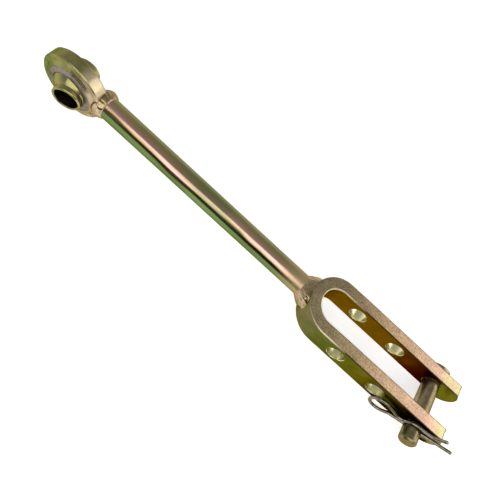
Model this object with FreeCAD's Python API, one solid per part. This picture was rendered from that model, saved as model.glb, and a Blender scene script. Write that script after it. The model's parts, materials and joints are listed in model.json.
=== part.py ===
import FreeCAD, Part
import math
import os

# Tractor side link: a swivel-ball eye, a round rod and a drilled fork with its pin and spring clip.
# Millimetres. X runs from the eye along the rod to the fork, Y along the pin, Z is up.
# Each piece is drawn from the rod's centre line, and then moved so that the origin is the ball's centre.

# Swivel ball and the race that holds it
BALL_RADIUS = 17.8
BALL_WIDTH = 36.5
BALL_BORE_RADIUS = 9.65
BALL_COLLAR_RADIUS = 12.0
BALL_CHAMFER = 0.9
BALL_REST_ANGLE = 15.0
BALL_CLEARANCE = 0.08
RACE_WALL = 2.52
RACE_WIDTH = 16.6
RACE_LIP = 1.0

# Eye ring, flush with the front of the rod and welded on a little askew
RING_WALL = 8.2
RING_WIDTH = 12.0
RING_CHAMFER = 1.2
HUB_FOOT_WIDTH = 3.6
HUB_TOP_WIDTH = 0.8
RACE_SEAT_CLEARANCE = 0.02
EYE_TWIST = 4.8
EYE_SWING = 2.8

# Rod between the eye and the fork
ROD_RADIUS = 10.0
ROD_LAP = 7.0
ROD_SEAT = 0.8
EYE_TO_PIN = 403.8

# Fork, bent from flat bar
BAR_WIDTH = 26.0
BAR_THICKNESS = 12.0
BAR_EDGE_ROUND = 1.0
EDGE_ROUND_SHARE = 1 / 3
FORK_GAP = 32.5
FORK_DEPTH = 133.0
FORK_BEYOND_PIN = 27.0
FORK_END_RADIUS = 15.0
BEND_THINNING = 0.8
HOLE_RADIUS = 8.25
HOLE_PITCH = 46.5
FREE_HOLES = 2

# Pin with a domed head and a cross hole for the clip
PIN_CLEARANCE = 0.3
PIN_HEAD_RADIUS = 12.0
PIN_HEAD_HEIGHT = 5.0
PIN_HEAD_DOME = 1.8
PIN_HEAD_GAP = 0.3
PIN_TAIL = 17.0
PIN_TAIL_CHAMFER = 1.8
CLIP_HOLE_CLEARANCE = 0.4

# Spring clip, bent from round wire around forming pins, in one plane across the pin
WIRE_RADIUS = 1.5
CLIP_FACE_GAP = 1.5
CLIP_ANGLE = 22.7
CLIP_LEG_BEYOND = 35.0
CLIP_PIN_GAP = 0.25
CLIP_LOOP_RADIUS = 9.6
CLIP_LOOP_DISTANCE = 32.0
CLIP_LOOP_RISE = 5.6
CLIP_BEND_RADIUS = 6.0
CLIP_BEND_SPACE = 0.4
CLIP_WAIST_ANGLE = 141.0
CLIP_DIP_ANGLE = 43.0
CLIP_DIP_SPACE = 3.5
CLIP_TIP_DISTANCE = 25.5
CLIP_TIP_RISE = 14.8

# Weld beads
EYE_BEAD_BEYOND_RING = 4.22
EYE_BEAD_HEIGHT = 3.0
EYE_BEAD_SLOPE = 3.6
FORK_BEAD_LENGTH = 8.0
FORK_BEAD_COVER = 6.0
FORK_BEAD_HEIGHT = 7.0
FORK_BEAD_BULGE = 0.8
FORK_BEAD_INSET = 0.6

# Places worked out from the sizes above
RING_Y = -(ROD_RADIUS - RING_WIDTH / 2)
RACE_BORE = BALL_RADIUS + BALL_CLEARANCE
RACE_RADIUS = RACE_BORE + RACE_WALL
RING_BORE = RACE_RADIUS + RACE_SEAT_CLEARANCE
RING_RADIUS = RING_BORE + RING_WALL
HUB_TOP_RADIUS = RING_BORE + HUB_TOP_WIDTH
ROD_START = RING_RADIUS - ROD_LAP
FORK_END = EYE_TO_PIN + FORK_BEYOND_PIN
BEND_X = EYE_TO_PIN - FORK_DEPTH + FORK_GAP / 2
FORK_OUTSIDE = FORK_GAP / 2 + BAR_THICKNESS
CROWN_X = BEND_X - FORK_OUTSIDE + BEND_THINNING
PIN_RADIUS = HOLE_RADIUS - PIN_CLEARANCE
CLIP_Y = -(FORK_OUTSIDE + CLIP_FACE_GAP + WIRE_RADIUS)

X_AXIS = FreeCAD.Vector(1, 0, 0)
Y_AXIS = FreeCAD.Vector(0, 1, 0)
Z_AXIS = FreeCAD.Vector(0, 0, 1)
EYE_CENTRE = FreeCAD.Vector(0, RING_Y, 0)


def line(start, end):
    return Part.LineSegment(start, end).toShape()


def arc(start, middle, end):
    return Part.Arc(start, middle, end).toShape()


def outline(points):
    """Closed wire through the points with straight sides."""
    return Part.makePolygon(points + [points[0]])


def turned_about_y(points, centre):
    """Solid of revolution about the Y direction from points given as (radius, distance along Y)."""
    profile = outline([centre + FreeCAD.Vector(r, y, 0) for r, y in points])
    return Part.Face(profile).revolve(centre, Y_AXIS, 360)


def mirrored_profile(half):
    """Profile of a part that is the same on both sides: the half above the middle, then its mirror."""
    return half + [(r, -y) for r, y in reversed(half)]


def cylinder_along_y(x, radius, y_from, y_to):
    return Part.makeCylinder(radius, y_to - y_from, FreeCAD.Vector(x, y_from, 0), Y_AXIS)


def hole_places():
    """X of every cross hole in the fork, the pin's own hole first."""
    return [EYE_TO_PIN - number * HOLE_PITCH for number in range(FREE_HOLES + 1)]


def eye_ring():
    """Forged ring with a raised hub on each face."""
    half = [
        (RING_BORE, RACE_WIDTH / 2),
        (HUB_TOP_RADIUS, RACE_WIDTH / 2),
        (RING_BORE + HUB_FOOT_WIDTH, RING_WIDTH / 2),
        (RING_RADIUS - RING_CHAMFER, RING_WIDTH / 2),
        (RING_RADIUS, RING_WIDTH / 2 - RING_CHAMFER),
    ]
    return turned_about_y(mirrored_profile(half), EYE_CENTRE)


def ball_race():
    """Ring with a spherical bore, crowned a little towards the ball."""
    lip_y = RACE_WIDTH / 2 + RACE_LIP
    lip_radius = math.sqrt(RACE_BORE**2 - lip_y**2)
    half = [(lip_radius, lip_y), (RACE_RADIUS, RACE_WIDTH / 2)]
    ring = turned_about_y(mirrored_profile(half), EYE_CENTRE)
    return ring.cut(Part.makeSphere(RACE_BORE, EYE_CENTRE))


def swivel_ball():
    """Ball with a collar on each side, bored through and chamfered."""
    side = BALL_WIDTH / 2
    root = math.sqrt(BALL_RADIUS**2 - BALL_COLLAR_RADIUS**2)
    half = [
        (BALL_COLLAR_RADIUS, root),
        (BALL_COLLAR_RADIUS, side - BALL_CHAMFER),
        (BALL_COLLAR_RADIUS - BALL_CHAMFER, side),
        (BALL_BORE_RADIUS + BALL_CHAMFER, side),
        (BALL_BORE_RADIUS, side - BALL_CHAMFER),
    ]
    points = [EYE_CENTRE + FreeCAD.Vector(r, y, 0) for r, y in mirrored_profile(half)]
    sides = [line(start, end) for start, end in zip(points, points[1:])]
    sides.append(arc(points[-1], EYE_CENTRE + X_AXIS * BALL_RADIUS, points[0]))
    solid = Part.Face(Part.Wire(sides)).revolve(EYE_CENTRE, Y_AXIS, 360)
    solid.rotate(EYE_CENTRE, Z_AXIS, BALL_REST_ANGLE)
    return solid


def askew(piece):
    """Turns a piece of the eye about the ball's centre to the way it is welded on."""
    piece.rotate(EYE_CENTRE, X_AXIS, EYE_TWIST)
    piece.rotate(EYE_CENTRE, Z_AXIS, EYE_SWING)
    return piece


def rod(ring_body, fork_body):
    """Round bar, stepped to lap the eye ring and seated on the crown of the fork."""
    start = FreeCAD.Vector(ROD_START, 0, 0)
    bar = Part.makeCylinder(ROD_RADIUS, CROWN_X + ROD_SEAT - ROD_START, start, X_AXIS)
    return bar.cut(ring_body).cut(fork_body)


def ring_blank():
    """The plain disc that the rod and the bead are fitted to."""
    front = RING_Y - RING_WIDTH / 2
    return cylinder_along_y(0, RING_RADIUS, front, front + RING_WIDTH)


def eye_weld(ring_body, rod_body):
    """Raised bead around the joint of the rod and the ring."""
    start = FreeCAD.Vector(HUB_TOP_RADIUS, ROD_RADIUS, 0)
    end = FreeCAD.Vector(RING_RADIUS + EYE_BEAD_BEYOND_RING, ROD_RADIUS, 0)
    rise = Y_AXIS * EYE_BEAD_HEIGHT + X_AXIS * EYE_BEAD_SLOPE
    fall = Y_AXIS * EYE_BEAD_HEIGHT - X_AXIS * EYE_BEAD_SLOPE
    core_end = FreeCAD.Vector(end.x, 0, 0)
    core_start = FreeCAD.Vector(start.x, 0, 0)
    profile = outline([start, start + rise, end + fall, end, core_end, core_start])
    bead = Part.Face(profile).revolve(core_start, X_AXIS, 360)
    blank = Part.makeCylinder(ROD_RADIUS, end.x - start.x, core_start, X_AXIS)
    return bead.cut(ring_body).cut(rod_body).cut(blank)


def fork():
    """Flat bar bent into a U, with rounded ends and cross holes."""
    inside = FORK_GAP / 2
    shoulder = CROWN_X + FORK_OUTSIDE

    def corner(x, y):
        return FreeCAD.Vector(x, y, -BAR_WIDTH / 2)

    sides = [
        arc(corner(shoulder, -FORK_OUTSIDE), corner(CROWN_X, 0), corner(shoulder, FORK_OUTSIDE)),
        line(corner(shoulder, FORK_OUTSIDE), corner(FORK_END, FORK_OUTSIDE)),
        line(corner(FORK_END, FORK_OUTSIDE), corner(FORK_END, inside)),
        line(corner(FORK_END, inside), corner(BEND_X, inside)),
        arc(corner(BEND_X, inside), corner(BEND_X - inside, 0), corner(BEND_X, -inside)),
        line(corner(BEND_X, -inside), corner(FORK_END, -inside)),
        line(corner(FORK_END, -inside), corner(FORK_END, -FORK_OUTSIDE)),
        line(corner(FORK_END, -FORK_OUTSIDE), corner(shoulder, -FORK_OUTSIDE)),
    ]
    body = Part.Face(Part.Wire(sides)).extrude(Z_AXIS * BAR_WIDTH)
    edge_round = min(BAR_EDGE_ROUND, BAR_THICKNESS * EDGE_ROUND_SHARE)
    long_edges = [
        edge
        for edge in body.Edges
        if abs(abs(edge.CenterOfMass.z) - BAR_WIDTH / 2) < edge_round / 2
        and edge.CenterOfMass.x < FORK_END - edge_round
    ]
    body = body.makeFillet(edge_round, long_edges)
    body = body.common(fork_side_view())
    for place in hole_places():
        body = body.cut(cylinder_along_y(place, HOLE_RADIUS, -FORK_END, FORK_END))
    return body


def fork_side_view():
    """Block with the fork's outline as seen along the pin, with rounded ends."""
    half = BAR_WIDTH / 2
    end_radius = max(FORK_END_RADIUS, half)
    start_x = CROWN_X - BAR_THICKNESS
    shoulder_x = FORK_END - end_radius + math.sqrt(end_radius**2 - half**2)

    def corner(x, z):
        return FreeCAD.Vector(x, -FORK_OUTSIDE - BAR_THICKNESS, z)

    sides = [
        line(corner(start_x, -half), corner(shoulder_x, -half)),
        arc(corner(shoulder_x, -half), corner(FORK_END, 0), corner(shoulder_x, half)),
        line(corner(shoulder_x, half), corner(start_x, half)),
        line(corner(start_x, half), corner(start_x, -half)),
    ]
    return Part.Face(Part.Wire(sides)).extrude(Y_AXIS * 2 * (FORK_OUTSIDE + BAR_THICKNESS))


def fork_weld(rod_body, fork_body):
    """Flared bead between the rod and the crown, no wider than the bar."""
    start = FreeCAD.Vector(CROWN_X - FORK_BEAD_LENGTH, ROD_RADIUS, 0)
    end = FreeCAD.Vector(CROWN_X + FORK_BEAD_COVER, ROD_RADIUS + FORK_BEAD_HEIGHT, 0)
    across = (end - start).normalize().cross(Z_AXIS)
    crest = (start + end) / 2 - across * FORK_BEAD_BULGE
    core_end = FreeCAD.Vector(end.x, 0, 0)
    core_start = FreeCAD.Vector(start.x, 0, 0)
    sides = [
        arc(start, crest, end),
        line(end, core_end),
        line(core_end, core_start),
        line(core_start, start),
    ]
    bead = Part.Face(Part.Wire(sides)).revolve(core_start, X_AXIS, 360)
    height = BAR_WIDTH - 2 * FORK_BEAD_INSET
    reach = 2 * (ROD_RADIUS + FORK_BEAD_HEIGHT)
    length = FORK_BEAD_LENGTH + FORK_BEAD_COVER
    slab = Part.makeBox(length, reach, height, FreeCAD.Vector(start.x, -reach / 2, -height / 2))
    return bead.common(slab).cut(fork_body).cut(rod_body)


def clip_frame():
    """Direction of the clip's straight leg, and the direction across it in the clip's plane."""
    angle = math.radians(CLIP_ANGLE)
    along = FreeCAD.Vector(math.cos(angle), 0, math.sin(angle))
    across = FreeCAD.Vector(-math.sin(angle), 0, math.cos(angle))
    return along, across


def clevis_pin():
    """Turned pin with a domed head on the +Y side and a cross hole near its tail."""
    tail_y = -(FORK_OUTSIDE + PIN_TAIL)
    head_y = FORK_OUTSIDE + PIN_HEAD_GAP
    rim_y = head_y + PIN_HEAD_HEIGHT - PIN_HEAD_DOME
    top_y = head_y + PIN_HEAD_HEIGHT
    dome_radius = (PIN_HEAD_RADIUS**2 + PIN_HEAD_DOME**2) / (2 * PIN_HEAD_DOME)
    half_angle = math.asin(PIN_HEAD_RADIUS / dome_radius) / 2
    crest = (dome_radius * math.sin(half_angle), top_y - dome_radius * (1 - math.cos(half_angle)))
    chamfer = min(PIN_TAIL_CHAMFER, PIN_RADIUS / 2)

    def place(r, y):
        return FreeCAD.Vector(EYE_TO_PIN + r, y, 0)

    turned = [
        (0, tail_y),
        (PIN_RADIUS - chamfer, tail_y),
        (PIN_RADIUS, tail_y + chamfer),
        (PIN_RADIUS, head_y),
        (PIN_HEAD_RADIUS, head_y),
        (PIN_HEAD_RADIUS, rim_y),
    ]
    points = [place(r, y) for r, y in turned]
    sides = [line(start, end) for start, end in zip(points, points[1:])]
    sides.append(arc(points[-1], place(*crest), place(0, top_y)))
    sides.append(line(place(0, top_y), points[0]))
    body = Part.Face(Part.Wire(sides)).revolve(place(0, 0), Y_AXIS, 360)
    along, _ = clip_frame()
    centre = FreeCAD.Vector(EYE_TO_PIN, CLIP_Y, 0)
    reach = 2 * PIN_RADIUS
    hole = Part.makeCylinder(WIRE_RADIUS + CLIP_HOLE_CLEARANCE, 2 * reach, centre - along * reach, along)
    return body.cut(hole)


def tangent_directions(circles):
    """Angle of the straight run between each circle and the next, circles being (u, v, radius, turn)."""
    angles = []
    for (u1, v1, r1, turn1), (u2, v2, r2, turn2) in zip(circles, circles[1:]):
        distance = math.hypot(u2 - u1, v2 - v1)
        offset = turn2 * r2 - turn1 * r1
        angles.append(math.atan2(v2 - v1, u2 - u1) - math.asin(offset / distance))
    return angles


def touch_point(circle, angle):
    """Point where a run in the direction of the angle touches the circle."""
    u, v, radius, turn = circle
    return u + turn * radius * math.sin(angle), v - turn * radius * math.cos(angle)


def bent_wire(circles, place, radius):
    """Round wire of straight runs and bends round forming pins; the first and last are bare points."""
    angles = tangent_directions(circles)
    normal = (place(1, 0) - place(0, 0)).cross(place(0, 1) - place(0, 0))
    pieces = []
    for number, angle in enumerate(angles):
        start = place(*touch_point(circles[number], angle))
        end = place(*touch_point(circles[number + 1], angle))
        run = end - start
        pieces.append(Part.makeCylinder(radius, run.Length, start, run))
        if number + 1 < len(angles):
            u, v, _, turn = circles[number + 1]
            swing = turn * (angles[number + 1] - angle) % (2 * math.pi)
            section = Part.Face(Part.Wire(Part.makeCircle(radius, end, run)))
            pieces.append(section.revolve(place(u, v), normal * turn, math.degrees(swing)))
    return pieces[0].fuse(pieces[1:]).removeSplitter()


def clip_circles():
    """Forming pins of the clip, in the clip's own plane with the clevis pin's centre as origin."""
    saddle = PIN_RADIUS + WIRE_RADIUS + CLIP_PIN_GAP
    bend = CLIP_BEND_RADIUS
    reach = bend + CLIP_LOOP_RADIUS + CLIP_BEND_SPACE
    heel_u = -CLIP_LOOP_DISTANCE + math.sqrt(reach**2 - (CLIP_LOOP_RISE + bend) ** 2)
    waist = math.radians(CLIP_WAIST_ANGLE)
    waist_reach = saddle + bend + CLIP_BEND_SPACE
    dip = math.radians(CLIP_DIP_ANGLE)
    dip_reach = saddle + bend + CLIP_DIP_SPACE
    return [
        (CLIP_LEG_BEYOND, 0, 0, 1),
        (heel_u, -bend, bend, 1),
        (-CLIP_LOOP_DISTANCE, CLIP_LOOP_RISE, CLIP_LOOP_RADIUS, -1),
        (waist_reach * math.cos(waist), waist_reach * math.sin(waist), bend, 1),
        (0, 0, saddle, -1),
        (dip_reach * math.cos(dip), dip_reach * math.sin(dip), bend, 1),
        (CLIP_TIP_DISTANCE, CLIP_TIP_RISE, 0, 1),
    ]


def spring_clip():
    along, across = clip_frame()
    centre = FreeCAD.Vector(EYE_TO_PIN, CLIP_Y, 0)

    def place(u, v):
        return centre + along * u + across * v

    return bent_wire(clip_circles(), place, WIRE_RADIUS)


def main():
    ring_body = askew(eye_ring())
    filled_ring = ring_body.fuse(askew(ring_blank()))
    fork_body = fork()
    rod_body = rod(filled_ring, fork_body)
    parts = {
        "eye_ring": ring_body,
        "ball_race": askew(ball_race()),
        "swivel_ball": askew(swivel_ball()),
        "rod": rod_body,
        "eye_weld": eye_weld(filled_ring, rod_body),
        "fork": fork_body,
        "fork_weld": fork_weld(rod_body, fork_body),
        "clevis_pin": clevis_pin(),
        "spring_clip": spring_clip(),
    }
    os.makedirs("parts", exist_ok=True)
    for name, shape in parts.items():
        solids = shape.Solids
        body = solids[0] if len(solids) == 1 else shape
        body.translate(-EYE_CENTRE)
        body.exportStep("parts/" + name + ".step")
        print(name, len(solids), "solid, valid:", body.isValid(), "volume:", round(body.Volume, 1))


main()
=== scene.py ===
import json
import math
import random

import bmesh
import bpy
from mathutils import Matrix, Vector, noise


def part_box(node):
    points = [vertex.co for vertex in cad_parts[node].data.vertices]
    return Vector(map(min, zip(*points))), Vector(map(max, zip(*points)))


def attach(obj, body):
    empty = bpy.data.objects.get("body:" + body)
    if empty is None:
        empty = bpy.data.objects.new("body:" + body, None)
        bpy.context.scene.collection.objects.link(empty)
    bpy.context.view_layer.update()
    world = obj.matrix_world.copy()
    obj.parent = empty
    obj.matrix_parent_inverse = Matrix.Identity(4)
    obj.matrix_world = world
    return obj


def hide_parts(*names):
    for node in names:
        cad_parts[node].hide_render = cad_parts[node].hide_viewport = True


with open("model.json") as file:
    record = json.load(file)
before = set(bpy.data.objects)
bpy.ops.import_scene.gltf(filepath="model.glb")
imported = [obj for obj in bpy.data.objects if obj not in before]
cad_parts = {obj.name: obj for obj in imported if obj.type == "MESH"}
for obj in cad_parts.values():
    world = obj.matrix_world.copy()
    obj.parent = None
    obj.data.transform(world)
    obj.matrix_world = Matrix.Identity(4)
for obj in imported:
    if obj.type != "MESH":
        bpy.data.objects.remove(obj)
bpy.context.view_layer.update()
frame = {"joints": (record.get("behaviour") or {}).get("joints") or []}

# Lengths are millimetres until a mesh is made, and angles are degrees.
MM = 0.001

# The camera of the photograph: where it stands, where it looks and how far it is rolled
CAMERA_PLACE = (173.6, -190.5, 312.5)
CAMERA_AZIMUTH = 7.63
CAMERA_ELEVATION = 59.1
CAMERA_ROLL = 49.0
CAMERA_LENS = 30.83
SENSOR_WIDTH = 36.0

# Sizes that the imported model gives
JOINTS = {joint["name"]: joint for joint in frame["joints"]}
PIN_X, ROD_Y, _ = [value / MM for value in JOINTS["pin_spin"]["pos_m"]]


def corners(node):
    """Lowest and highest corner of a CAD node, in millimetres."""
    return [Vector(corner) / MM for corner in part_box(node)]


ROD_LOW, ROD_HIGH = corners("rod")
FORK_LOW, FORK_HIGH = corners("fork")
CLIP_LOW, CLIP_HIGH = corners("spring_clip")
EYE_BEAD_LOW, EYE_BEAD_HIGH = corners("eye_weld")
FORK_BEAD_LOW, FORK_BEAD_HIGH = corners("fork_weld")

ROD_RADIUS = ROD_HIGH.z
BAR_HALF = FORK_HIGH.z
FORK_OUTSIDE = FORK_HIGH.y - ROD_Y
PIN_TAIL_Y = corners("clevis_pin")[0].y - ROD_Y
CLIP_Y = (CLIP_LOW.y + CLIP_HIGH.y) / 2

# Sizes of the eye that a box doesn't show, as in the CAD model
BALL_RADIUS = 17.8
BALL_HALF_WIDTH = 18.25
BALL_BORE_RADIUS = 9.65
BALL_COLLAR_RADIUS = 12.0
BALL_CHAMFER = 0.9
BALL_REST_ANGLE = 15.0
RACE_BORE = 17.88
RACE_HALF_WIDTH = 8.3
RACE_LIP = 1.0
RACE_RADIUS = 20.4
RING_HALF_WIDTH = 6.0
RING_BORE = 20.42
RING_RADIUS = 28.62
RING_CHAMFER = 1.2
HUB_FOOT_WIDTH = 3.6
HUB_TOP_WIDTH = 0.8
EYE_TWIST = 4.8
EYE_SWING = 2.8

# Sizes of the fork and its pin
BAR_THICKNESS = 12.0
BAR_EDGE_ROUND = 1.0
FORK_END_RADIUS = 15.0
BEND_THINNING = 0.8
HOLE_RADIUS = 8.25
HOLE_PITCH = 46.5
HOLE_COUNT = 3
HOLE_BREAK = 0.35
PIN_RADIUS = 7.95
PIN_HEAD_RADIUS = 12.0
PIN_HEAD_HEIGHT = 5.0
PIN_HEAD_DOME = 1.8
PIN_HEAD_GAP = 0.3
PIN_TAIL_CHAMFER = 1.8

# Sizes of the clip, as the pins that its wire is bent round
WIRE_RADIUS = 1.5
WIRE_END_BREAK = 0.35
CLIP_HOLE_RADIUS = 1.9
CLIP_ANGLE = 22.7
CLIP_LEG_BEYOND = 35.0
CLIP_PIN_GAP = 0.25
CLIP_LOOP_RADIUS = 9.6
CLIP_LOOP_DISTANCE = 32.0
CLIP_LOOP_RISE = 5.6
CLIP_BEND_RADIUS = 6.0
CLIP_BEND_SPACE = 0.4
CLIP_WAIST_ANGLE = 141.0
CLIP_DIP_ANGLE = 43.0
CLIP_DIP_SPACE = 3.5
CLIP_TIP = (25.5, 14.8)

# Weld beads: their depth in the rod, the ridges of a pass, the sizes of the lumps and the eye's spatter
BEAD_DEPTH = 1.0
BEAD_RIDGES = 15
BEAD_SWAY_SIZE = 6.0
BEAD_LUMP_SIZE = 6.5
BEAD_GRIT_SIZE = 2.6
SPATTER_TRIES = 26
SPATTER_X = (19.5, 27.0)
SPATTER_Z = (-16.0, 9.0)
SPATTER_RADIUS = (0.35, 0.8)

# An end that is turned about an axis stops this far from it
AXIS_GAP = 0.01
ROD_END_BREAK = 0.5

# Floor of the studio: its reach, the grey it is painted, and what it adds to that where it is seen
FLOOR_REACH_M = 20.0
FLOOR_GREY = 0.80
FLOOR_LIFT = 0.62

# Lamps and dark cards of the studio; the standing card's angles are from the link's level
BOX_DISTANCE_M = 1.0
CARD_DISTANCE_M = 0.7
CARD_ANGLES = (-4, 17)
CARD_ENDS_M = (-0.25, 1.3)
MAT_HEIGHT_M = -0.022
MAT_ENDS_M = (0.05, 0.75)
MAT_SIDES_M = (-0.12, -0.5)
FELT_BLACK = 0.02

FORK_INSIDE = FORK_OUTSIDE - BAR_THICKNESS
BEND_X = FORK_LOW.x + FORK_OUTSIDE - BEND_THINNING
SHOULDER_X = FORK_LOW.x + FORK_OUTSIDE

Y_AXIS = Vector((0, 1, 0))
EYE_CENTRE = Vector((0, 0, 0))
EVEN = (1, 1, 1)


def turned_by(degrees, axis):
    return Matrix.Rotation(math.radians(degrees), 3, axis)


ASKEW = turned_by(EYE_SWING, "Z") @ turned_by(EYE_TWIST, "X")
BALL_TURN = ASKEW @ turned_by(BALL_REST_ANGLE, "Z")


# Meshes

def new_object(name, points, faces):
    """An object whose mesh has these points, in millimetres, and these faces."""
    mesh = bpy.data.meshes.new(name)
    mesh.from_pydata([Vector(point) * MM for point in points], [], faces)
    mesh.validate()
    piece = bpy.data.objects.new(name, mesh)
    bpy.context.scene.collection.objects.link(piece)
    return piece


def clean_mesh(mesh):
    """Joins points that share a place and turns every face outwards."""
    work = bmesh.new()
    work.from_mesh(mesh)
    bmesh.ops.remove_doubles(work, verts=work.verts, dist=1e-7)
    bmesh.ops.recalc_face_normals(work, faces=work.faces)
    work.to_mesh(mesh)
    work.free()


def add_piece(name, points, faces, material, body, node, slot, sharp=35.0):
    """A shaded piece that stands for one CAD node and rides on its body."""
    finish_piece(new_object(name, points, faces), material, body, node, sharp)


def finish_piece(piece, material, body, node, sharp=35.0):
    clean_mesh(piece.data)
    piece.data.shade_smooth()
    piece.data.set_sharp_from_angle(angle=math.radians(sharp))
    piece.data.materials.clear()
    piece.data.materials.append(material)
    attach(piece, body)
    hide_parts(node)


def scratch_object(points, faces, name="cutter"):
    """A closed body that is cut, or that cuts another."""
    piece = new_object(name, points, faces)
    clean_mesh(piece.data)
    return piece


def cut_away(piece, cutters):
    """Cuts the cutters out of the piece and deletes them."""
    for cutter in cutters:
        cut = piece.modifiers.new("cut", "BOOLEAN")
        cut.operation = "DIFFERENCE"
        cut.solver = "EXACT"
        cut.object = cutter
    graph = bpy.context.evaluated_depsgraph_get()
    mesh = bpy.data.meshes.new_from_object(piece.evaluated_get(graph))
    piece.modifiers.clear()
    piece.data = mesh
    for cutter in cutters:
        bpy.data.objects.remove(cutter)


def grid_faces(rows, columns, close_rows=False, close_columns=True):
    """Quads between points laid out row by row."""
    faces = []
    for row in range(rows if close_rows else rows - 1):
        for column in range(columns if close_columns else columns - 1):
            below = (row + 1) % rows
            beside = (column + 1) % columns
            faces.append((row * columns + column, row * columns + beside,
                          below * columns + beside, below * columns + column))
    return faces


def soft_outline(points, steps=4):
    """Outline through (a, b, radius) corners, each corner turned by an arc of its radius."""
    outline = []
    for number, (a, b, radius) in enumerate(points):
        corner = Vector((a, b))
        if radius == 0:
            outline.append(corner)
            continue
        before = (Vector(points[number - 1][:2]) - corner).normalized()
        after = (Vector(points[(number + 1) % len(points)][:2]) - corner).normalized()
        half = before.angle(after) / 2
        reach = radius / math.tan(half)
        centre = corner + (before + after).normalized() * radius / math.sin(half)
        start = corner + before * reach - centre
        end = corner + after * reach - centre
        for step in range(steps + 1):
            blend = start.slerp(end, step / steps)
            outline.append(centre + blend.normalized() * radius)
    return outline


def turned(outline, centre=EYE_CENTRE, segments=128):
    """Points and faces of an outline of (radius, distance along Y), turned about the Y direction."""
    points = []
    for segment in range(segments):
        turn = 2 * math.pi * segment / segments
        points += [centre + Vector((r * math.cos(turn), y, r * math.sin(turn))) for r, y in outline]
    return points, grid_faces(segments, len(outline), close_rows=True)


def mirrored(half):
    """The outline and its mirror image across the middle of the eye."""
    return half + [(r, -y, radius) for r, y, radius in reversed(half)]


# Node helpers: distances are metres here, and a noise's scale is in cycles per metre

def add_node(tree, kind, **settings):
    node = tree.nodes.new(kind)
    for name, value in settings.items():
        setattr(node, name, value)
    return node


def feed(tree, value, socket):
    """Links a value that comes from a node, and sets one that is the same all over."""
    if isinstance(value, bpy.types.NodeSocket):
        tree.links.new(value, socket)
    elif socket.type == "RGBA":
        socket.default_value = (*value, 1.0)
    else:
        socket.default_value = value


def noise_at(tree, where, scale, detail=3.0, stretch=EVEN, distortion=0.0):
    """Noise value, drawn out along the axes where the stretch is under 1."""
    mapping = add_node(tree, "ShaderNodeMapping")
    mapping.inputs["Scale"].default_value = stretch
    texture = add_node(tree, "ShaderNodeTexNoise")
    texture.inputs["Scale"].default_value = scale
    texture.inputs["Detail"].default_value = detail
    texture.inputs["Distortion"].default_value = distortion
    tree.links.new(where, mapping.inputs["Vector"])
    tree.links.new(mapping.outputs["Vector"], texture.inputs["Vector"])
    return texture.outputs["Fac"]


def ramp(tree, value, stops):
    """Colour that the value picks between (place, colour) stops."""
    node = add_node(tree, "ShaderNodeValToRGB")
    band = node.color_ramp
    while len(band.elements) < len(stops):
        band.elements.new(0.5)
    for element, (place, colour) in zip(band.elements, stops):
        element.position = place
        element.color = (*colour, 1.0)
    tree.links.new(value, node.inputs["Fac"])
    return node.outputs["Color"]


def even_stops(tones, low=0.34, high=0.66):
    return [(low + (high - low) * n / (len(tones) - 1), tone) for n, tone in enumerate(tones)]


def mix(tree, factor, first, second, blend="MIX"):
    """The second colour laid over the first by the factor."""
    node = add_node(tree, "ShaderNodeMix", data_type="RGBA", blend_type=blend)
    sockets = {(socket.name, socket.type): socket for socket in node.inputs}
    feed(tree, factor, sockets["Factor", "VALUE"])
    feed(tree, first, sockets["A", "RGBA"])
    feed(tree, second, sockets["B", "RGBA"])
    return next(socket for socket in node.outputs if socket.type == "RGBA")


def calc(tree, operation, *values, clamp=False):
    node = add_node(tree, "ShaderNodeMath", operation=operation, use_clamp=clamp)
    for socket, value in zip(node.inputs, values):
        feed(tree, value, socket)
    return node.outputs["Value"]


def hypotenuse(tree, first, second):
    squares = [calc(tree, "POWER", leg, 2.0) for leg in (first, second)]
    return calc(tree, "SQRT", calc(tree, "ADD", *squares))


def spread(tree, value, low, high, from_low=0.3, from_high=0.7):
    """The value moved from its usual range to another, and held inside it."""
    node = add_node(tree, "ShaderNodeMapRange")
    node.inputs["From Min"].default_value = from_low
    node.inputs["From Max"].default_value = from_high
    node.inputs["To Min"].default_value = low
    node.inputs["To Max"].default_value = high
    tree.links.new(value, node.inputs["Value"])
    return node.outputs["Result"]


def bump(tree, shader, height, distance, before=None):
    node = add_node(tree, "ShaderNodeBump")
    node.inputs["Distance"].default_value = distance
    tree.links.new(height, node.inputs["Height"])
    if before:
        tree.links.new(before, node.inputs["Normal"])
    tree.links.new(node.outputs["Normal"], shader.inputs["Normal"])
    return node.outputs["Normal"]


def axes(tree, where):
    split = add_node(tree, "ShaderNodeSeparateXYZ")
    tree.links.new(where, split.inputs["Vector"])
    return split.outputs["X"], split.outputs["Y"], split.outputs["Z"]


# Metals: yellow zinc plate, whose tint runs from green and straw to pink

OLIVE = (0.31, 0.29, 0.11)
GREY_OLIVE = (0.30, 0.29, 0.19)
LEAF_GREEN = (0.20, 0.27, 0.10)
DEEP_GREEN = (0.13, 0.20, 0.07)
TAN = (0.46, 0.34, 0.18)
SAND = (0.62, 0.52, 0.32)
CREAM = (0.80, 0.74, 0.52)
PALE_STRAW = (0.72, 0.69, 0.43)
COPPER_PINK = (0.60, 0.36, 0.28)
ROSE = (0.80, 0.50, 0.42)
HONEY = (0.19, 0.095, 0.004)
UMBER = (0.085, 0.022, 0.003)
PAINTED_CLIP_SHADOW = (0.012, 0.011, 0.004)
CORNER_SHADE_DARK = (0.05, 0.03, 0.012)
BORE_SHADE_BLACK = (0.035, 0.030, 0.018)

# What the plate keeps of the light at a grazing angle
GRAZING_TINT = (0.42, 0.38, 0.26)


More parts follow.
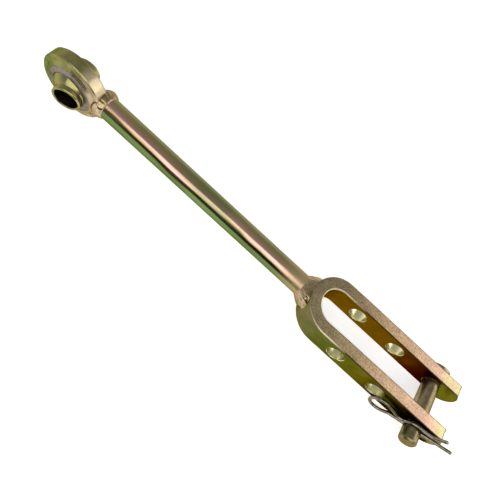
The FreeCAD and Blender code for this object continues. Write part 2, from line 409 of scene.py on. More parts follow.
def new_metal(name):
    """A plain metal: the material, its node tree, its shader and its object coordinates."""
    material = bpy.data.materials.new(name)
    material.use_nodes = True
    tree = material.node_tree
    shader = tree.nodes["Principled BSDF"]
    shader.inputs["Metallic"].default_value = 1.0
    shader.inputs["Specular Tint"].default_value = (*GRAZING_TINT, 1.0)
    place = add_node(tree, "ShaderNodeTexCoord")
    return material, tree, shader, place.outputs["Object"]


def mottled(tree, where, colour, scale, darkest, stretch=EVEN):
    """The colour, darkened here and there."""
    mottle = noise_at(tree, where, scale, stretch=stretch)
    shade = ramp(tree, mottle, [(0.35, (darkest, darkest, darkest)), (0.65, (1.0, 1.0, 1.0))])
    return mix(tree, 1.0, colour, shade, "MULTIPLY")


def plated(name, tones, tone_scale, roughness, grain_scale, grain_depth, darkest=0.8):
    """Small piece: drifting tones, a fine grain and uneven gloss."""
    material, tree, shader, where = new_metal(name)
    drift = noise_at(tree, where, tone_scale, 4.0, distortion=0.4)
    colour = mottled(tree, where, ramp(tree, drift, even_stops(tones)), tone_scale * 7, darkest)
    tree.links.new(colour, shader.inputs["Base Color"])
    gloss = noise_at(tree, where, tone_scale * 3)
    tree.links.new(spread(tree, gloss, roughness * 0.8, roughness * 1.25), shader.inputs["Roughness"])
    bump(tree, shader, noise_at(tree, where, grain_scale), grain_depth)
    return material


# Tints round the rod, in degrees from its top, with painted light among them: a rose painted highlight band,
# a dark umber painted reflection line under it, and darker greens as painted shade on the lower front side;
# and how far its end was heated when it was welded
ROD_TINTS_AND_PAINTED_LIGHT = [(-180, OLIVE), (-118, LEAF_GREEN), (-64, DEEP_GREEN), (-52, UMBER), (-44, TAN), (-34, ROSE),
             (-22, COPPER_PINK), (-8, TAN), (12, OLIVE), (34, GREY_OLIVE), (58, OLIVE),
             (110, LEAF_GREEN), (180, OLIVE)]
HEAT_FADES = (38, 14)


def rod_metal():
    """Drawn bar: the plate's tint runs in bands along the bar, among them a painted highlight, a painted
    dark reflection line and painted shade on the lower front side, with fine draw lines.
    """
    material, tree, shader, where = new_metal("rod_plate")
    x, y, z = axes(tree, where)
    turn = calc(tree, "ARCTAN2", calc(tree, "SUBTRACT", y, ROD_Y * MM), z)
    sway = noise_at(tree, where, 14, stretch=(1, 0.6, 0.6), distortion=0.3)
    turn = calc(tree, "ADD", turn, spread(tree, sway, -0.22, 0.22))
    around = calc(tree, "ADD", calc(tree, "DIVIDE", turn, 2 * math.pi), 0.5)
    # The bands paint light as well as tint: rose where the highlight falls, dark umber under it as a dark
    # reflection, darker green as shade low on the front side
    colour = ramp(tree, around, [(angle / 360 + 0.5, tone) for angle, tone in ROD_TINTS_AND_PAINTED_LIGHT])
    patch = noise_at(tree, where, 11, stretch=(1, 0.3, 0.3), distortion=0.5)
    green = calc(tree, "MULTIPLY", spread(tree, patch, 0.0, 1.0, 0.48, 0.66), 0.5, clamp=True)
    colour = mix(tree, green, colour, LEAF_GREEN)
    colour = mottled(tree, where, colour, 160, 0.82, (0.12, 1, 1))
    heat_from, heat_to = [(ROD_HIGH.x - distance) * MM for distance in HEAT_FADES]
    heated = spread(tree, x, 0.0, 1.0, heat_from, heat_to)
    colour = mix(tree, calc(tree, "MULTIPLY", heated, 0.75), colour, TAN)
    tree.links.new(colour, shader.inputs["Base Color"])
    lines = noise_at(tree, where, 520, 4.0, (0.012, 1, 1))
    gloss = calc(tree, "ADD", spread(tree, lines, 0.14, 0.27), calc(tree, "MULTIPLY", heated, 0.24))
    tree.links.new(gloss, shader.inputs["Roughness"])
    drawn = bump(tree, shader, lines, 0.00003)
    grain = calc(tree, "MULTIPLY", noise_at(tree, where, 900), calc(tree, "ADD", heated, 0.12))
    bump(tree, shader, grain, 0.00011, drawn)
    return material


# Tints along the fork from its crown at 0 to its open end at 1, for each kind of face. The broad faces carry
# painted light: inside the fork a painted shade, golden brown that darkens to near black towards the pin,
# and outside a painted shadow of the clip, near black towards the open end.
INNER_PAINTED_SHADE_TONES = [(0.0, HONEY), (0.5, HONEY), (0.68, UMBER), (0.84, (0.03, 0.008, 0.002)),
               (0.93, (0.16, 0.15, 0.03))]
OUTER_TONES_WITH_PAINTED_SHADOW = [(0.0, (0.20, 0.17, 0.08)), (0.25, (0.12, 0.14, 0.035)), (0.5, (0.16, 0.14, 0.03)),
               (0.64, (0.08, 0.07, 0.015)), (0.76, PAINTED_CLIP_SHADOW), (0.95, PAINTED_CLIP_SHADOW), (1.0, OLIVE)]
EDGE_TONES = [(0.0, (0.28, 0.25, 0.16)), (0.20, (0.30, 0.25, 0.16)), (0.40, (0.50, 0.39, 0.25)),
              (0.64, (0.64, 0.46, 0.33)), (0.85, (0.82, 0.56, 0.45)), (0.96, (0.80, 0.74, 0.44))]
SPECKLE = [(0.34, 0.26, 0.22), (0.50, 0.46, 0.40), (0.62, 0.52, 0.50), (0.72, 0.74, 0.52)]


def broad_faces(tree, far, along):
    """Colour of the bar's broad faces, by the distance from the fork's middle line: painted shade inside,
    and tint with a painted shadow of the clip outside.
    """
    middle = (FORK_INSIDE + FORK_OUTSIDE) / 2
    outside = spread(tree, far, 0.0, 1.0, (middle - 4) * MM, (middle + 4) * MM)
    # Inside: painted shade that darkens towards the pin; outside: green tint with a painted near-black
    # shadow of the clip
    return mix(tree, outside, ramp(tree, along, INNER_PAINTED_SHADE_TONES), ramp(tree, along, OUTER_TONES_WITH_PAINTED_SHADOW))


def edge_faces(tree, along, speck):
    """Colour of the bar's narrow faces, with the speckle of a rolled skin."""
    speckle = ramp(tree, speck, even_stops(SPECKLE, 0.38, 0.62))
    return mix(tree, 0.8, ramp(tree, along, EDGE_TONES), speckle, "OVERLAY")


def at_corner(tree, far, rise):
    """1 along the bar's four long corners, and 0 away from them."""
    to_inside = calc(tree, "ABSOLUTE", calc(tree, "SUBTRACT", far, FORK_INSIDE * MM))
    to_outside = calc(tree, "ABSOLUTE", calc(tree, "SUBTRACT", far, FORK_OUTSIDE * MM))
    to_edge = calc(tree, "SUBTRACT", BAR_HALF * MM, rise)
    to_corner = calc(tree, "ADD", calc(tree, "MINIMUM", to_inside, to_outside), to_edge)
    return spread(tree, to_corner, 1.0, 0.0, 0.6 * MM, 1.3 * MM)


def at_hole(tree, x, z):
    """1 on the walls and rims of the arms' holes, and 0 away from them."""
    past_pin = calc(tree, "ADD", calc(tree, "SUBTRACT", x, PIN_X * MM), HOLE_PITCH / 2 * MM)
    in_pitch = calc(tree, "FLOORED_MODULO", past_pin, HOLE_PITCH * MM)
    from_axis = hypotenuse(tree, calc(tree, "SUBTRACT", in_pitch, HOLE_PITCH / 2 * MM), z)
    rim = spread(tree, from_axis, 1.0, 0.0, (HOLE_RADIUS + 0.25) * MM, (HOLE_RADIUS + 0.5) * MM)
    on_arm = calc(tree, "GREATER_THAN", x, (BEND_X + HOLE_RADIUS) * MM)
    return calc(tree, "MULTIPLY", rim, on_arm)


def fork_metal():
    """Flat bar: smooth broad faces, brown painted shade inside the fork and green outside with a painted
    shadow of the clip, rough edge faces, painted light along the corners and pale painted light in the
    holes.
    """
    material, tree, shader, where = new_metal("fork_plate")
    x, y, z = axes(tree, where)
    past_bend = calc(tree, "MINIMUM", calc(tree, "SUBTRACT", x, BEND_X * MM), 0.0)
    far = hypotenuse(tree, past_bend, calc(tree, "SUBTRACT", y, ROD_Y * MM))
    rise = calc(tree, "ABSOLUTE", z)
    edge = spread(tree, rise, 0.0, 1.0, (BAR_HALF - 0.9) * MM, (BAR_HALF - 0.1) * MM)
    along = spread(tree, x, 0.0, 1.0, FORK_LOW.x * MM, FORK_HIGH.x * MM)
    drift = noise_at(tree, where, 30, 4.0, distortion=0.5)
    along = calc(tree, "ADD", along, spread(tree, drift, -0.08, 0.08))
    speck = noise_at(tree, where, 900, 2.0)
    # The speckled edge faces are laid over the smooth broad ones where the bar's rise reaches its half width
    colour = mix(tree, edge, broad_faces(tree, far, along), edge_faces(tree, along, speck))
    colour = mottled(tree, where, colour, 110, 0.82)
    # Painted light along the bar's long corners: a cream painted highlight round the crown's bend, and a
    # dark painted shade line along the arms
    bent = spread(tree, along, 0.0, 1.0, 0.30, 0.20)
    corner_highlight_and_shade = mix(tree, bent, CORNER_SHADE_DARK, CREAM)
    colour = mix(tree, at_corner(tree, far, rise), colour, corner_highlight_and_shade)
    # The holes' walls and rims are painted pale straw: painted light for the light that falls through the
    # holes
    colour = mix(tree, at_hole(tree, x, z), colour, PALE_STRAW)
    tree.links.new(colour, shader.inputs["Base Color"])
    smooth = spread(tree, noise_at(tree, where, 80), 0.20, 0.32)
    rough = spread(tree, speck, 0.40, 0.56)
    broad = calc(tree, "SUBTRACT", 1.0, edge)
    gloss = calc(tree, "ADD", calc(tree, "MULTIPLY", rough, edge), calc(tree, "MULTIPLY", smooth, broad))
    tree.links.new(gloss, shader.inputs["Roughness"])
    grain = noise_at(tree, where, 900, 4.0)
    height = calc(tree, "MULTIPLY", grain, spread(tree, edge, 0.12, 1.0, 0.0, 1.0))
    bump(tree, shader, height, 0.00022)
    return material


def ring_metal():
    """Forging: the plate's tint drifts round the ring, straw on the rod's side and green opposite."""
    material, tree, shader, where = new_metal("ring_plate")
    x, _, z = axes(tree, where)
    turn = calc(tree, "DIVIDE", calc(tree, "ABSOLUTE", calc(tree, "ARCTAN2", z, x)), math.pi)
    sway = noise_at(tree, where, 38, 4.0, distortion=0.6)
    turn = calc(tree, "ADD", turn, spread(tree, sway, -0.12, 0.12))
    colour = ramp(tree, turn, [(0.0, TAN), (0.16, (0.56, 0.44, 0.28)), (0.32, SAND), (0.44, OLIVE),
                               (0.62, OLIVE), (0.76, LEAF_GREEN), (1.0, LEAF_GREEN)])
    tree.links.new(mottled(tree, where, colour, 170, 0.8), shader.inputs["Base Color"])
    tree.links.new(spread(tree, noise_at(tree, where, 90), 0.22, 0.36), shader.inputs["Roughness"])
    forged = bump(tree, shader, noise_at(tree, where, 240), 0.00012)
    bump(tree, shader, noise_at(tree, where, 1100), 0.00005, forged)
    return material


def ball_metal():
    """Ground and plated ball with turning marks; its bore is painted nearly black, a painted shade in the
    hollow.
    """
    material, tree, shader, where = new_metal("ball_plate")
    dot = add_node(tree, "ShaderNodeVectorMath", operation="DOT_PRODUCT")
    dot.inputs[1].default_value = BALL_TURN @ Y_AXIS
    tree.links.new(where, dot.inputs[0])
    along = dot.outputs["Value"]
    size = add_node(tree, "ShaderNodeVectorMath", operation="LENGTH")
    tree.links.new(where, size.inputs[0])
    squares = [calc(tree, "POWER", value, 2.0) for value in (size.outputs["Value"], along)]
    from_axis = calc(tree, "SQRT", calc(tree, "SUBTRACT", *squares))
    drift = noise_at(tree, where, 34, 4.0, distortion=0.4)
    colour = ramp(tree, drift, even_stops([(0.28, 0.26, 0.12), OLIVE, (0.52, 0.46, 0.24)]))
    colour = mottled(tree, where, colour, 200, 0.85)
    # The bore is painted near black and rougher: painted shade in the hollow
    bore = spread(tree, from_axis, 1.0, 0.0, (BALL_BORE_RADIUS + 0.1) * MM, (BALL_BORE_RADIUS + 0.4) * MM)
    tree.links.new(mix(tree, bore, colour, BORE_SHADE_BLACK), shader.inputs["Base Color"])
    gloss = spread(tree, noise_at(tree, where, 120), 0.11, 0.19)
    gloss = calc(tree, "ADD", gloss, calc(tree, "MULTIPLY", bore, 0.3))
    tree.links.new(gloss, shader.inputs["Roughness"])
    mark_pitch = 0.9 * MM
    marks = calc(tree, "SINE", calc(tree, "MULTIPLY", along, 2 * math.pi / mark_pitch))
    turning = bump(tree, shader, marks, 0.0000025)
    bump(tree, shader, noise_at(tree, where, 1300), 0.00001, turning)
    return material


RING_METAL = ring_metal()
BALL_METAL = ball_metal()
ROD_METAL = rod_metal()
FORK_METAL = fork_metal()
RACE_METAL = plated("race_plate", [(0.22, 0.19, 0.17), (0.32, 0.27, 0.26), (0.20, 0.18, 0.14)],
                    tone_scale=90, roughness=0.34, grain_scale=900, grain_depth=0.00006)
WELD_METAL = plated("weld_plate", [OLIVE, TAN, (0.54, 0.38, 0.24), SAND],
                    tone_scale=90, roughness=0.17, grain_scale=700, grain_depth=0.00005, darkest=0.6)
PIN_METAL = plated("pin_plate", [(0.20, 0.16, 0.07), (0.44, 0.36, 0.22)],
                   tone_scale=40, roughness=0.28, grain_scale=900, grain_depth=0.00002)
CLIP_METAL = plated("clip_plate", [(0.20, 0.20, 0.12), (0.34, 0.31, 0.24), (0.34, 0.26, 0.23)],
                    tone_scale=60, roughness=0.15, grain_scale=900, grain_depth=0.00001, darkest=0.6)


# Eye

def arc_points(radius, reach, steps):
    """Outline points of an arc about the middle, without its two ends."""
    angles = [-reach + 2 * reach * step / steps for step in range(1, steps)]
    return [(radius * math.cos(angle), radius * math.sin(angle), 0) for angle in angles]


def add_turned(name, outline, turn, segments, *finish):
    """A piece of the eye, turned about Y and then set as the eye sits on the rod."""
    points, faces = turned(soft_outline(outline), segments=segments)
    add_piece(name, [turn @ point for point in points], faces, *finish)


def build_ring():
    half = [
        (RING_BORE, RACE_HALF_WIDTH, 0.2),
        (RING_BORE + HUB_TOP_WIDTH, RACE_HALF_WIDTH, 0.4),
        (RING_BORE + HUB_FOOT_WIDTH, RING_HALF_WIDTH, 0.8),
        (RING_RADIUS - RING_CHAMFER, RING_HALF_WIDTH, 0.4),
        (RING_RADIUS, RING_HALF_WIDTH - RING_CHAMFER, 0.5),
    ]
    add_turned("forged_eye_ring", mirrored(half), ASKEW, 192, RING_METAL, "link", "eye_ring", "forged_eye")


def build_race():
    lip_y = RACE_HALF_WIDTH + RACE_LIP
    lip = math.sqrt(RACE_BORE**2 - lip_y**2)
    outline = arc_points(RACE_BORE, math.asin(lip_y / RACE_BORE), 24)
    outline += [
        (lip, lip_y, 0.25),
        (RACE_RADIUS, RACE_HALF_WIDTH, 0.3),
        (RACE_RADIUS, -RACE_HALF_WIDTH, 0.3),
        (lip, -lip_y, 0.25),
    ]
    add_turned("rolled_ball_race", outline, ASKEW, 160, RACE_METAL, "link", "ball_race", "race_steel")


def build_ball():
    root = math.sqrt(BALL_RADIUS**2 - BALL_COLLAR_RADIUS**2)
    half = [
        (BALL_COLLAR_RADIUS, root, 0.3),
        (BALL_COLLAR_RADIUS, BALL_HALF_WIDTH - BALL_CHAMFER, 0.5),
        (BALL_COLLAR_RADIUS - BALL_CHAMFER, BALL_HALF_WIDTH, 0.4),
        (BALL_BORE_RADIUS + BALL_CHAMFER, BALL_HALF_WIDTH, 0.3),
        (BALL_BORE_RADIUS, BALL_HALF_WIDTH - BALL_CHAMFER, 0.3),
    ]
    outline = arc_points(BALL_RADIUS, math.asin(root / BALL_RADIUS), 32) + mirrored(half)
    add_turned("bored_swivel_ball", outline, BALL_TURN, 128, BALL_METAL, "ball", "swivel_ball", "ball_steel")


# Rod and welds

def build_rod():
    """Drawn round bar; its ends are hidden in the eye ring and in the fork's crown."""
    reach = ROD_HIGH.x - ROD_LOW.x
    steps = 80
    stations = [(0, AXIS_GAP), (0, ROD_RADIUS - ROD_END_BREAK)]
    for step in range(steps + 1):
        stations.append((ROD_END_BREAK + (reach - 2 * ROD_END_BREAK) * step / steps, ROD_RADIUS))
    stations += [(reach, ROD_RADIUS - ROD_END_BREAK), (reach, AXIS_GAP)]
    segments = 96
    points = []
    for along, radius in stations:
        for segment in range(segments):
            turn = 2 * math.pi * segment / segments
            points.append((ROD_LOW.x + along, ROD_Y + radius * math.sin(turn), radius * math.cos(turn)))
    faces = grid_faces(len(stations), segments)
    add_piece("drawn_round_rod", points, faces, ROD_METAL, "link", "rod", "rod_steel")


def lumps(place, size, seed):
    """Smooth unevenness from -1 to 1 with bumps of about the given size in millimetres."""
    return noise.noise(Vector(place) / size + Vector((seed, 2 * seed, 3 * seed)))


def ripple(turn, count, drift):
    """Crescent ridges that a weld pass leaves, one after another round the joint."""
    phase = (turn * count / (2 * math.pi) + drift) % 1.0
    return 1.0 - abs(2.0 * phase - 1.0) ** 1.6


def weld_bead(skin, place_point, seed, ridge_height, lump_height):
    """Points and faces of a bead round the rod from its skin of (x, radius) points."""
    segments = 220
    inner_radius = ROD_RADIUS - BEAD_DEPTH
    low, high = skin[0][0], skin[-1][0]
    middle_x = (low + high) / 2
    half = (high - low) / 2
    points = []
    for segment in range(segments):
        turn = 2 * math.pi * segment / segments
        row = [(low, inner_radius)]
        for x, radius in skin:
            spot = (x, radius * math.cos(turn), radius * math.sin(turn))
            share = max(0.0, 1.0 - ((x - middle_x) / half) ** 2)
            drift = 0.6 * lumps(spot, BEAD_SWAY_SIZE, seed) + 0.05 * (x - middle_x)
            uneven = lumps(spot, BEAD_LUMP_SIZE, seed + 1) + 0.25 * lumps(spot, BEAD_GRIT_SIZE, seed + 2)
            rise = lump_height * share * uneven
            rise += ridge_height * share * (ripple(turn, BEAD_RIDGES, drift) - 0.5)
            row.append((x, radius + rise))
        row.append((high, inner_radius))
        points += [place_point(x, radius * math.sin(turn), radius * math.cos(turn)) for x, radius in row]
    return points, grid_faces(segments, len(skin) + 2, close_rows=True)


def spatter():
    """Small round drops beside the weld, sunk a little into the ring's face."""
    random.seed(7)
    points, faces = [], []
    for _ in range(SPATTER_TRIES):
        x = random.uniform(*SPATTER_X)
        z = random.uniform(*SPATTER_Z)
        if not RING_BORE + HUB_FOOT_WIDTH < math.hypot(x, z) < RING_RADIUS - RING_CHAMFER:
            continue
        centre = ASKEW @ Vector((x, -RING_HALF_WIDTH, z))
        drop = bmesh.new()
        bmesh.ops.create_icosphere(drop, subdivisions=2, radius=random.uniform(*SPATTER_RADIUS))
        first = len(points)
        points += [centre + vertex.co for vertex in drop.verts]
        faces += [tuple(first + vertex.index for vertex in face.verts) for face in drop.faces]
        drop.free()
    return points, faces


def build_eye_weld():
    low, high = EYE_BEAD_LOW.x, EYE_BEAD_HIGH.x
    crest = EYE_BEAD_HIGH.z - 0.4
    steps = 30
    skin = []
    for step in range(steps + 1):
        share = step / steps
        swell = math.sin(math.pi * share) ** 0.6
        skin.append((low + (high - low) * share, ROD_RADIUS - 0.15 + (crest - ROD_RADIUS) * swell))

    def round_rod(x, y, z):
        return Vector((x, ROD_Y + y, z))

    points, faces = weld_bead(skin, round_rod, seed=3.0, ridge_height=0.45, lump_height=0.95)
    drops, drop_faces = spatter()
    faces += [tuple(len(points) + corner for corner in face) for face in drop_faces]
    add_piece("welded_eye_bead", points + drops, faces, WELD_METAL, "link", "eye_weld", "weld_metal", 60)


def build_fork_weld():
    """Bead that flares from the rod onto the crown and stays inside the bar's width."""
    low, high = FORK_BEAD_LOW.x, FORK_BEAD_HIGH.x
    wide = FORK_BEAD_HIGH.y - ROD_Y
    limit = FORK_BEAD_HIGH.z
    steps = 34
    skin = []
    for step in range(steps + 1):
        share = step / steps
        flare = ROD_RADIUS + (wide - ROD_RADIUS) * share + 1.1 * math.sin(math.pi * share)
        skin.append((low + (high - low) * share, flare - 0.2))

    def within_bar(x, y, z):
        soft = limit * math.tanh((abs(z) / limit) ** 3) ** (1 / 3)
        return Vector((x, ROD_Y + y, math.copysign(min(abs(z), soft), z)))

    points, faces = weld_bead(skin, within_bar, seed=11.0, ridge_height=0.4, lump_height=0.9)
    add_piece("welded_crown_bead", points, faces, WELD_METAL, "link", "fork_weld", "weld_metal", 60)


# Fork

def bar_section():
    """Outline of the flat bar: (share across the thickness from -1 inside to 1 outside, z)."""
    half_t = BAR_THICKNESS / 2
    corner = BAR_EDGE_ROUND
    outline = soft_outline([(half_t, -BAR_HALF, corner), (half_t, BAR_HALF, corner),
                            (-half_t, BAR_HALF, corner), (-half_t, -BAR_HALF, corner)])
    fine = []
    for number, point in enumerate(outline):
        after = outline[(number + 1) % len(outline)]
        pieces = max(1, round((after - point).length))
        fine += [point.lerp(after, piece / pieces) for piece in range(pieces)]
    return [(across / half_t, z) for across, z in fine]


def fork_end_x(z):
    return FORK_HIGH.x - FORK_END_RADIUS + math.sqrt(FORK_END_RADIUS**2 - z**2)


def fork_point(station, across, z):
    """Point of the bent bar, whose stations run from 0 to 3.

    The upper arm is 0 to 1 from its end inwards, the bend 1 to 2, and the lower arm 2 to 3 outwards.
    """
    share = (across + 1) / 2
    if station < 1 or station > 2:
        side = 1 if station < 1 else -1
        along = 1 - station if station < 1 else station - 2
        start = BEND_X + share * (SHOULDER_X - BEND_X)
        x = start + (fork_end_x(z) - start) * along
        return Vector((x, ROD_Y + side * (FORK_INSIDE + share * BAR_THICKNESS), z))
    turn = math.pi / 2 + math.pi * (station - 1)
    inner = Vector((BEND_X + FORK_INSIDE * math.cos(turn), ROD_Y + FORK_INSIDE * math.sin(turn), z))
    outer = Vector((SHOULDER_X + FORK_OUTSIDE * math.cos(turn), ROD_Y + FORK_OUTSIDE * math.sin(turn), z))
    return inner.lerp(outer, share)


def hole_cutters():
    """Drills for both arms, flared where a hole's rim is broken."""
    half = BAR_THICKNESS / 2
    flare = HOLE_RADIUS + HOLE_BREAK + 1
    profile = [(HOLE_RADIUS, -half + HOLE_BREAK), (HOLE_RADIUS, half - HOLE_BREAK), (flare, half + 1),
               (AXIS_GAP, half + 1), (AXIS_GAP, -half - 1), (flare, -half - 1)]
    cutters = []
    for number in range(HOLE_COUNT):
        for side in (-1, 1):
            middle = side * (FORK_INSIDE + FORK_OUTSIDE) / 2
            centre = Vector((PIN_X - number * HOLE_PITCH, ROD_Y + middle, 0))
            cutters.append(scratch_object(*turned(profile, centre, 72)))
    return cutters


def build_fork():
    """Flat bar swept round its bend, closed at its ends by rings that shrink to a point, and drilled."""
    section = bar_section()
    arm_steps, bend_steps = 136, 64
    stations = [n / arm_steps for n in range(arm_steps)]
    stations += [1 + n / bend_steps for n in range(bend_steps)]
    stations += [2 + n / arm_steps for n in range(arm_steps + 1)]
    points = [fork_point(s, a, z) for s in stations for a, z in section]
    faces = grid_faces(len(stations), len(section))
    count = len(section)
    for end, station in ((0, 0.0), (len(stations) - 1, 3.0)):
        ring = range(end * count, end * count + count)
        for shrink in (0.92, 0.6, 0.25, 0.0):
            first = len(points)
            points += [fork_point(station, a * shrink, z * shrink) for a, z in section]
            for n in range(count):
                beside = (n + 1) % count
                faces.append((ring[n], ring[beside], first + beside, first + n))
            ring = range(first, first + count)
    body = scratch_object(points, faces, "bent_bar_fork")
    cut_away(body, hole_cutters())
    finish_piece(body, FORK_METAL, "link", "fork")


# Pin and clip

def clip_frame():
    """Directions along the clip's straight leg and across it, in the clip's own plane."""
    angle = math.radians(CLIP_ANGLE)
    return Vector((math.cos(angle), 0, math.sin(angle))), Vector((-math.sin(angle), 0, math.cos(angle)))


def pin_outline():
    """Outline of the pin from its chamfered tail to its domed head."""
    head_y = FORK_OUTSIDE + PIN_HEAD_GAP
    rim_y = head_y + PIN_HEAD_HEIGHT - PIN_HEAD_DOME
    top_y = head_y + PIN_HEAD_HEIGHT
    dome = (PIN_HEAD_RADIUS**2 + PIN_HEAD_DOME**2) / (2 * PIN_HEAD_DOME)
    crown = []
    steps = 16
    for step in range(1, steps):
        angle = math.asin(PIN_HEAD_RADIUS / dome) * (1 - step / steps)
        crown.append((dome * math.sin(angle), top_y - dome * (1 - math.cos(angle)), 0))
    start = PIN_TAIL_Y + PIN_TAIL_CHAMFER + 1.5
    end = head_y - 1.0
    rows = 40
    shaft = [(PIN_RADIUS, start + (end - start) * row / rows, 0) for row in range(rows + 1)]
    return soft_outline([
        (AXIS_GAP, PIN_TAIL_Y, 0), (PIN_RADIUS - PIN_TAIL_CHAMFER, PIN_TAIL_Y, 0.7),
        (PIN_RADIUS, PIN_TAIL_Y + PIN_TAIL_CHAMFER, 1.2), *shaft, (PIN_RADIUS, head_y, 0.2),
        (PIN_HEAD_RADIUS, head_y, 0.4), (PIN_HEAD_RADIUS, rim_y, 0.5), *crown, (AXIS_GAP, top_y, 0)])


def build_pin():
    """Turned pin with the clip's hole drilled across its tail."""
    body = scratch_object(*turned(pin_outline(), Vector((PIN_X, ROD_Y, 0)), 96), "headed_cross_pin")
    along, across = clip_frame()
    middle = Vector((PIN_X, CLIP_Y, 0))
    segments = 32
    drill = []
    for reach in (-2 * PIN_RADIUS, 2 * PIN_RADIUS):
        for segment in range(segments):
            turn = 2 * math.pi * segment / segments
            spoke = across * math.cos(turn) + Y_AXIS * math.sin(turn)
            drill.append(middle + along * reach + spoke * CLIP_HOLE_RADIUS)
    faces = grid_faces(2, segments)
    faces += [tuple(range(segments)), tuple(range(segments, 2 * segments))]
    cut_away(body, [scratch_object(drill, faces)])
    finish_piece(body, PIN_METAL, "pin", "clevis_pin")


def clip_circles():
    """Forming pins (u, v, radius, turn) of the clip, in its own plane, with the clevis pin as origin."""
    saddle = PIN_RADIUS + WIRE_RADIUS + CLIP_PIN_GAP
    bend = CLIP_BEND_RADIUS
    reach = bend + CLIP_LOOP_RADIUS + CLIP_BEND_SPACE
    heel = -CLIP_LOOP_DISTANCE + math.sqrt(reach**2 - (CLIP_LOOP_RISE + bend) ** 2)
    waist = math.radians(CLIP_WAIST_ANGLE)
    waist_reach = saddle + bend + CLIP_BEND_SPACE
    dip = math.radians(CLIP_DIP_ANGLE)
    dip_reach = saddle + bend + CLIP_DIP_SPACE
    return [
        (CLIP_LEG_BEYOND, 0, 0, 1),
        (heel, -bend, bend, 1),
        (-CLIP_LOOP_DISTANCE, CLIP_LOOP_RISE, CLIP_LOOP_RADIUS, -1),
        (waist_reach * math.cos(waist), waist_reach * math.sin(waist), bend, 1),
        (0, 0, saddle, -1),
        (dip_reach * math.cos(dip), dip_reach * math.sin(dip), bend, 1),
        (*CLIP_TIP, 0, 1),
    ]


def clip_line(spacing=0.6):
    """Points (u, v) along the wire's middle: straight runs and bends round the forming pins."""
    circles = clip_circles()
    angles = []
    for (u1, v1, r1, turn1), (u2, v2, r2, turn2) in zip(circles, circles[1:]):
        offset = turn2 * r2 - turn1 * r1
        angles.append(math.atan2(v2 - v1, u2 - u1) - math.asin(offset / math.hypot(u2 - u1, v2 - v1)))
    line = []
    for number, angle in enumerate(angles):
        ends = []
        for u, v, radius, turn in circles[number:number + 2]:
            ends.append(Vector((u + turn * radius * math.sin(angle), v - turn * radius * math.cos(angle))))
        steps = max(2, round((ends[1] - ends[0]).length / (4 * spacing)))
        line += [ends[0].lerp(ends[1], step / steps) for step in range(steps)]
        if number + 1 < len(angles):
            u, v, radius, turn = circles[number + 1]
            swing = turn * (angles[number + 1] - angle) % (2 * math.pi)
            steps = max(2, round(swing * radius / spacing))
            spoke = ends[1] - Vector((u, v))
            for step in range(steps):
                line.append(Vector((u, v)) + Matrix.Rotation(turn * swing * step / steps, 2) @ spoke)
        else:
            line.append(ends[1])
    return line


def wire_rings(line):
    """Rings (centre, direction, radius) along the wire, whose two ends have their edges broken."""
    rings = []
    for number, point in enumerate(line):
        before = line[max(0, number - 1)]
        after = line[min(len(line) - 1, number + 1)]
        rings.append((point, (after - before).normalized(), WIRE_RADIUS))
    (start, leaving, _), (end, arriving, _) = rings[0], rings[-1]
    face = WIRE_RADIUS - WIRE_END_BREAK
    front = [
        (start, leaving, 0.0),
        (start, leaving, face),
        (start + leaving * WIRE_END_BREAK, leaving, WIRE_RADIUS),
    ]
    back = [
        (end - arriving * WIRE_END_BREAK, arriving, WIRE_RADIUS),
        (end, arriving, face),
        (end, arriving, 0.0),
    ]
    return front + rings[1:-1] + back


def build_clip():
    along, across = clip_frame()
    middle = Vector((PIN_X, CLIP_Y, 0))
    rings = wire_rings([middle + along * u + across * v for u, v in clip_line()])
    segments = 20
    points = []
    for centre, direction, radius in rings:
        beside = direction.cross(Y_AXIS).normalized()
        for segment in range(segments):
            turn = 2 * math.pi * segment / segments
            points.append(centre + (beside * math.cos(turn) + Y_AXIS * math.sin(turn)) * radius)
    faces = grid_faces(len(rings), segments)
    add_piece("bent_wire_clip", points, faces, CLIP_METAL, "clip", "spring_clip", "clip_wire", 50)


# Studio, in metres

def resting_plane():
    """The floor under the three lowest places: the ring's rim, the clip's loop and the far arm's end."""
    ring = ASKEW @ Vector((0, RING_HALF_WIDTH - RING_CHAMFER, -RING_RADIUS))
    loop = Vector((CLIP_LOW.x + CLIP_LOOP_RADIUS, CLIP_Y, CLIP_LOW.z))
    arm = Vector((FORK_HIGH.x - FORK_END_RADIUS / 2, FORK_HIGH.y - BAR_EDGE_ROUND, FORK_LOW.z))
    normal = (loop - ring).cross(arm - ring).normalized()
    return ring * MM, normal if normal.z > 0 else -normal


def add_backdrop(name, points_m, grey, roughness):
    """A flat sheet that isn't part of the link: the object, its node tree and its shader."""
    mesh = bpy.data.meshes.new(name)
    mesh.from_pydata(points_m, [], [(0, 1, 2, 3)])
    sheet = bpy.data.objects.new(name, mesh)
    bpy.context.scene.collection.objects.link(sheet)
    paint = bpy.data.materials.new(name + "_paint")
    paint.use_nodes = True
    shader = paint.node_tree.nodes["Principled BSDF"]
    shader.inputs["Base Color"].default_value = (grey, grey, grey, 1)
    shader.inputs["Roughness"].default_value = roughness
    mesh.materials.append(paint)
    return sheet, paint.node_tree, shader


def seen_ray(tree, level):
    """The level for rays that see the background, directly, in metal or through glass, and else none."""
    path = add_node(tree, "ShaderNodeLightPath")
    seen = calc(tree, "MAXIMUM", path.outputs["Is Camera Ray"], path.outputs["Is Glossy Ray"])
    seen = calc(tree, "MAXIMUM", seen, path.outputs["Is Transmission Ray"])
    return calc(tree, "MULTIPLY", seen, level)


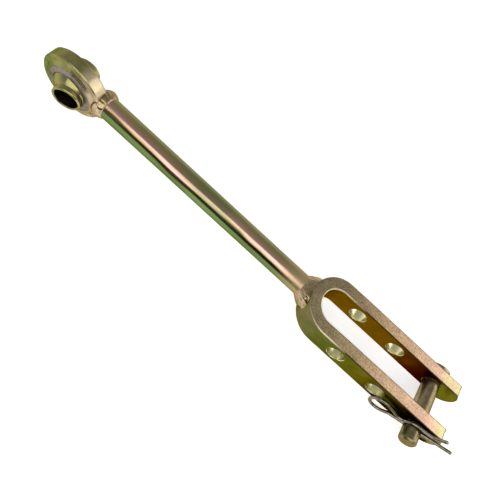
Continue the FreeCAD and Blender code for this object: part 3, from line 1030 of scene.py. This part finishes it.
def build_floor():
    place, normal = resting_plane()
    reach = FLOOR_REACH_M
    square = [(-reach, -reach, 0), (reach, -reach, 0), (reach, reach, 0), (-reach, reach, 0)]
    floor, tree, shader = add_backdrop("floor", square, FLOOR_GREY, 0.9)
    floor.matrix_world = Matrix.Translation(place) @ normal.to_track_quat("Z", "Y").to_matrix().to_4x4()
    shader.inputs["Specular IOR Level"].default_value = 0.1
    shader.inputs["Emission Color"].default_value = (1, 1, 1, 1)
    tree.links.new(seen_ray(tree, FLOOR_LIFT), shader.inputs["Emission Strength"])


def dark_card(name, points_m):
    """Dark felt that draws dark lines in the metal and isn't seen itself."""
    card, _, _ = add_backdrop(name, points_m, FELT_BLACK, 1.0)
    card.visible_camera = False
    card.visible_diffuse = False
    card.visible_shadow = False


def build_cards():
    """A card standing in front of the link, and a low one that lies level before it."""
    left, right = CARD_ENDS_M
    y = -CARD_DISTANCE_M
    low, high = [CARD_DISTANCE_M * math.tan(math.radians(angle)) for angle in CARD_ANGLES]
    dark_card("front_card", [(left, y, low), (right, y, low), (right, y, high), (left, y, high)])
    left, right = MAT_ENDS_M
    near, far = MAT_SIDES_M
    z = MAT_HEIGHT_M
    dark_card("front_mat", [(left, near, z), (left, far, z), (right, far, z), (right, near, z)])


def soft_box(name, direction, width, height, level):
    """A soft box of even radiance, facing the middle of the link."""
    lamp = bpy.data.lights.new(name, "AREA")
    lamp.shape = "RECTANGLE"
    lamp.size = width
    lamp.size_y = height
    lamp.energy = level * math.pi * width * height
    box = bpy.data.objects.new(name, lamp)
    bpy.context.scene.collection.objects.link(box)
    middle = Vector((PIN_X / 2, ROD_Y, 0)) * MM
    away = Vector(direction).normalized()
    box.location = middle + away * BOX_DISTANCE_M
    box.rotation_euler = away.to_track_quat("Z", "Y").to_euler()


def build_world():
    """Plain surroundings, bright at the horizon and greyer overhead."""
    world = bpy.data.worlds.new("studio")
    bpy.context.scene.world = world
    world.use_nodes = True
    tree = world.node_tree
    place = add_node(tree, "ShaderNodeTexCoord")
    _, _, height = axes(tree, place.outputs["Generated"])
    levels = [(0.0, 1.0), (0.12, 0.95), (0.4, 0.55), (0.8, 0.4)]
    sky = ramp(tree, height, [(rise, (level, level, level)) for rise, level in levels])
    tree.links.new(sky, tree.nodes["Background"].inputs["Color"])


def build_camera():
    lens = bpy.data.cameras.new("camera")
    lens.lens = CAMERA_LENS
    lens.sensor_width = SENSOR_WIDTH
    lens.clip_start = 0.01
    camera = bpy.data.objects.new("camera", lens)
    bpy.context.scene.collection.objects.link(camera)
    turn = Matrix.Rotation(-math.radians(CAMERA_AZIMUTH), 4, "Z")
    tip = Matrix.Rotation(math.radians(90 - CAMERA_ELEVATION), 4, "X")
    roll = Matrix.Rotation(math.radians(CAMERA_ROLL), 4, "Z")
    camera.matrix_world = Matrix.Translation(Vector(CAMERA_PLACE) * MM) @ turn @ tip @ roll
    bpy.context.scene.camera = camera


build_ring()
build_race()
build_ball()
build_rod()
build_eye_weld()
build_fork()
build_fork_weld()
build_pin()
build_clip()

build_floor()
build_cards()
build_world()
soft_box("key_box", direction=(0.12, -0.71, 0.70), width=1.4, height=0.7, level=1.6)
soft_box("end_box", direction=(0.78, 0.36, 0.5), width=0.7, height=0.7, level=1.5)
build_camera()
bpy.context.scene.view_settings.view_transform = "Standard"
